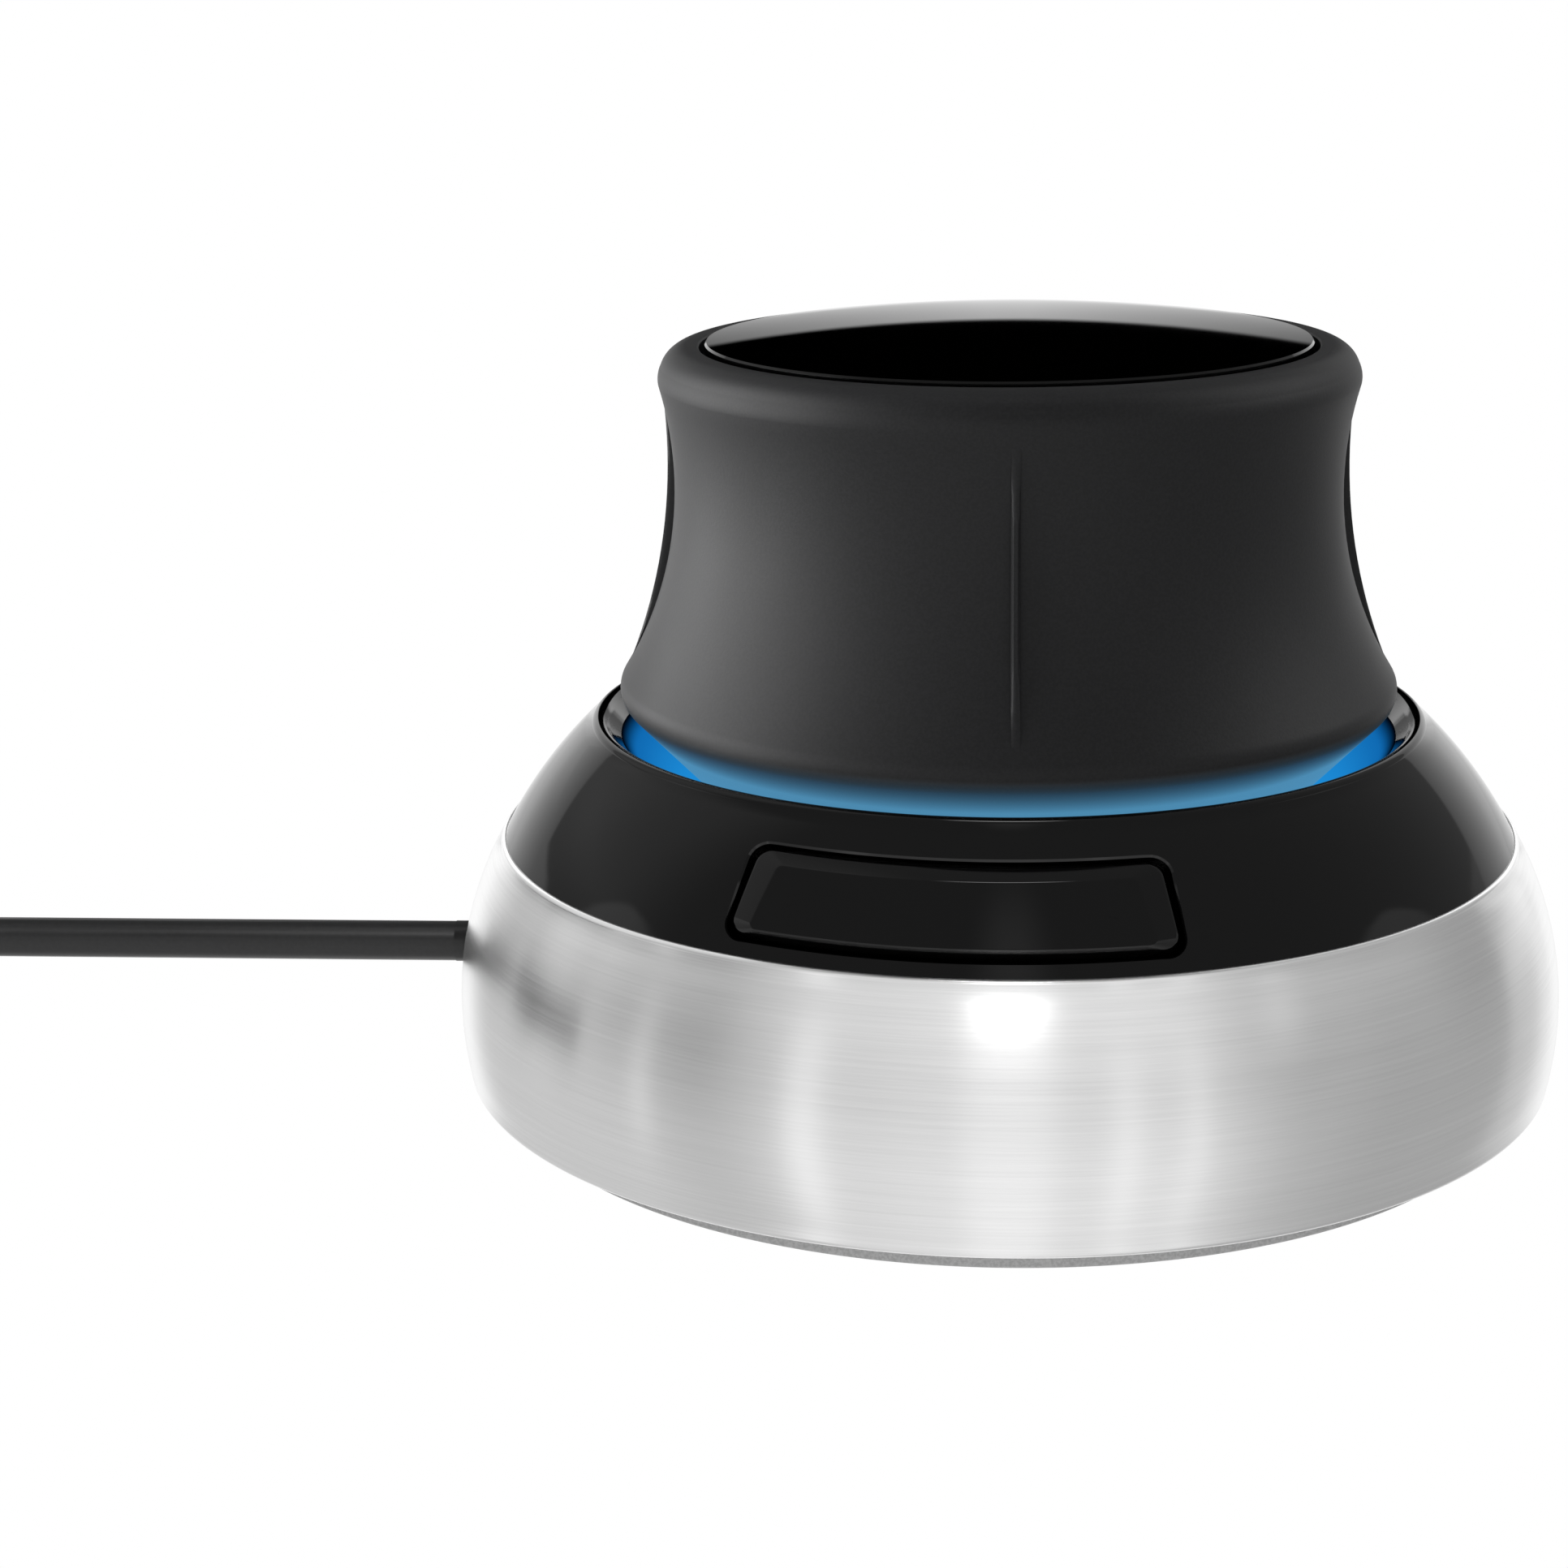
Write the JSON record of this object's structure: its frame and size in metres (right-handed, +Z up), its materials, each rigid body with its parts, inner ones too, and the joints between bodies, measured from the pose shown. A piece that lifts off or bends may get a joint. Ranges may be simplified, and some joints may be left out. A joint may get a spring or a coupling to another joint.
{
  "type": "three-dimensional mouse",
  "caption": "Heavy round desk base with side keys and a waisted rubber knob that slides, lifts, tilts and twists on springs; cable coiled beside it.",
  "frame": {"origin": "centre of the round face that the base stands on", "axes": "+Z up along the knob's axis; the cable leaves towards -X; the left key faces -Y"},
  "size_m": [0.187, 0.0918, 0.054],
  "materials": {
    "brushed_shell": "circular brushed",
    "steel": "plain",
    "grey_rubber": "matte",
    "black_rubber": "fine matte grain",
    "cable_rubber": "satin",
    "black_plastic": "matte",
    "gloss_black": "polished",
    "white_plastic": "matte",
    "clear_plastic": "frosted, lit blue",
    "blue_lamp": "clear, lit blue",
    "green_board": "lacquered",
    "brass": "plain"
  },
  "bodies": {
    "base": {"metal_shell": "brushed_shell", "base_plate": "steel", "foot_ring": "grey_rubber", "ballast_weight": "steel", "inner_frame": "black_plastic", "top_cover": "gloss_black", "light_ring": "clear_plastic", "main_board": "green_board", "blue_leds": "blue_lamp", "controller_chip": "black_plastic", "left_switch": "black_plastic", "right_switch": "black_plastic", "sensor_board": "green_board", "sensor_pillars": "brass", "light_emitters": "black_plastic", "light_detectors": "black_plastic", "base_screws": "steel", "board_screws": "steel", "cable_grommet": "cable_rubber", "cable_clamp": "black_plastic", "inner_lead": "cable_rubber", "lead_connector": "white_plastic", "cable": "cable_rubber", "cable_coil": "cable_rubber", "cable_tie": "black_plastic", "plug_body": "cable_rubber", "plug_shell": "steel", "plug_insert": "white_plastic"},
    "left_key": {"left_button": "gloss_black", "left_switch_plunger": "black_plastic"},
    "right_key": {"right_button": "gloss_black", "right_switch_plunger": "black_plastic"},
    "carriage_x": {"spring_front": "steel"},
    "carriage_y": {"spring_left": "steel"},
    "carriage_z": {"spring_right": "steel"},
    "tilt_ring": {"buffer_ring": "black_rubber"},
    "stop_ring": {"stop_collar": "black_plastic"},
    "knob": {"knob_grip": "black_rubber", "knob_core": "black_plastic", "cap_disc": "gloss_black", "moving_plate": "black_plastic", "slit_ring": "black_plastic", "knob_screws": "steel"}
  },
  "joints": [
    {"name": "slide_left_right", "type": "slide", "parent": "base", "child": "carriage_x", "axis": [1, 0, 0], "range_m": [-0.0007, 0.0007], "stiffness_N_per_m": 2500, "deforming": ["spring_front"]},
    {"name": "slide_front_back", "type": "slide", "parent": "carriage_x", "child": "carriage_y", "axis": [0, 1, 0], "range_m": [-0.0007, 0.0007], "stiffness_N_per_m": 2500, "deforming": ["spring_left"]},
    {"name": "lift_press", "type": "slide", "parent": "carriage_y", "child": "carriage_z", "axis": [0, 0, 1], "range_m": [-0.0005, 0.0005], "stiffness_N_per_m": 4000, "springref_m": 0.00008, "deforming": ["spring_right"]},
    {"name": "tilt_sideways", "type": "hinge", "parent": "carriage_z", "child": "tilt_ring", "pos_m": [0, 0, 0.028], "axis": [1, 0, 0], "range_deg": [-2, 2], "stiffness_Nm_per_rad": 2, "deforming": ["buffer_ring"]},
    {"name": "tilt_forward", "type": "hinge", "parent": "tilt_ring", "child": "stop_ring", "pos_m": [0, 0, 0.028], "axis": [0, 1, 0], "range_deg": [-2, 2], "stiffness_Nm_per_rad": 2},
    {"name": "twist", "type": "hinge", "parent": "stop_ring", "child": "knob", "pos_m": [0, 0, 0.028], "axis": [0, 0, 1], "range_deg": [-5, 5], "stiffness_Nm_per_rad": 1},
    {"name": "left_press", "type": "slide", "parent": "base", "child": "left_key", "axis": [0.0811, 0.7982, -0.5969], "range_m": [0, 0.0006], "stiffness_N_per_m": 900, "springref_m": -0.0002},
    {"name": "right_press", "type": "slide", "parent": "base", "child": "right_key", "axis": [0.0811, -0.7982, -0.5969], "range_m": [0, 0.0006], "stiffness_N_per_m": 900, "springref_m": -0.0002}
  ]
}
